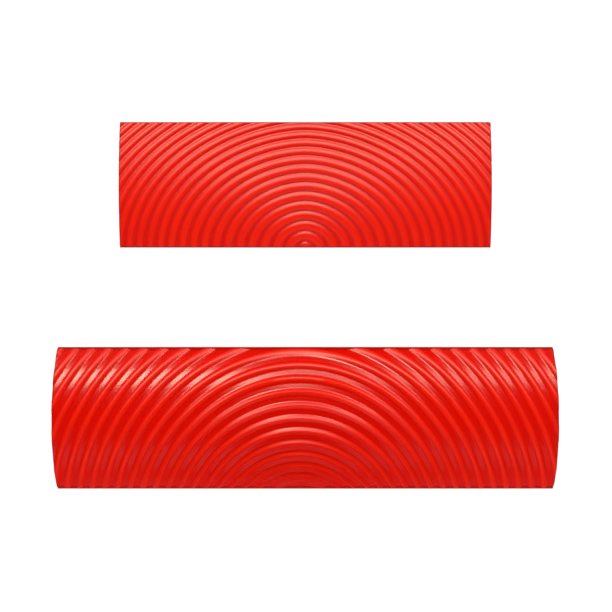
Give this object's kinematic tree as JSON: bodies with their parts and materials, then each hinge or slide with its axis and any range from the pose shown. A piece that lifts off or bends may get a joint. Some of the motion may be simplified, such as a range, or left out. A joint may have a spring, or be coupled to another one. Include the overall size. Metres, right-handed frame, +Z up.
{
  "type": "wood grain tool",
  "caption": "Arched rubber rockers with heart-grain ridges on stiff backings with grip bars, rocked and dragged through wet glaze to draw wood grain.",
  "frame": {"origin": "on the floor that the grips stand on, in the middle of the pair", "axes": "+X along the tools, +Y from the large tool to the small one, +Z up out of the ridged faces"},
  "size_m": [0.127, 0.0936, 0.0337],
  "materials": {
    "red_rubber": "moulded satin, slightly glossy ridge tops",
    "red_plastic": "moulded matte",
    "plated_steel": "zinc plated"
  },
  "bodies": {
    "root": {"large_grain_pad": "red_rubber", "large_backing": "red_plastic", "large_grip": "red_plastic", "large_screw_1": "plated_steel", "large_screw_2": "plated_steel", "large_screw_3": "plated_steel", "small_grain_pad": "red_rubber", "small_backing": "red_plastic", "small_grip": "red_plastic", "small_screw_1": "plated_steel", "small_screw_2": "plated_steel"}
  },
  "joints": []
}
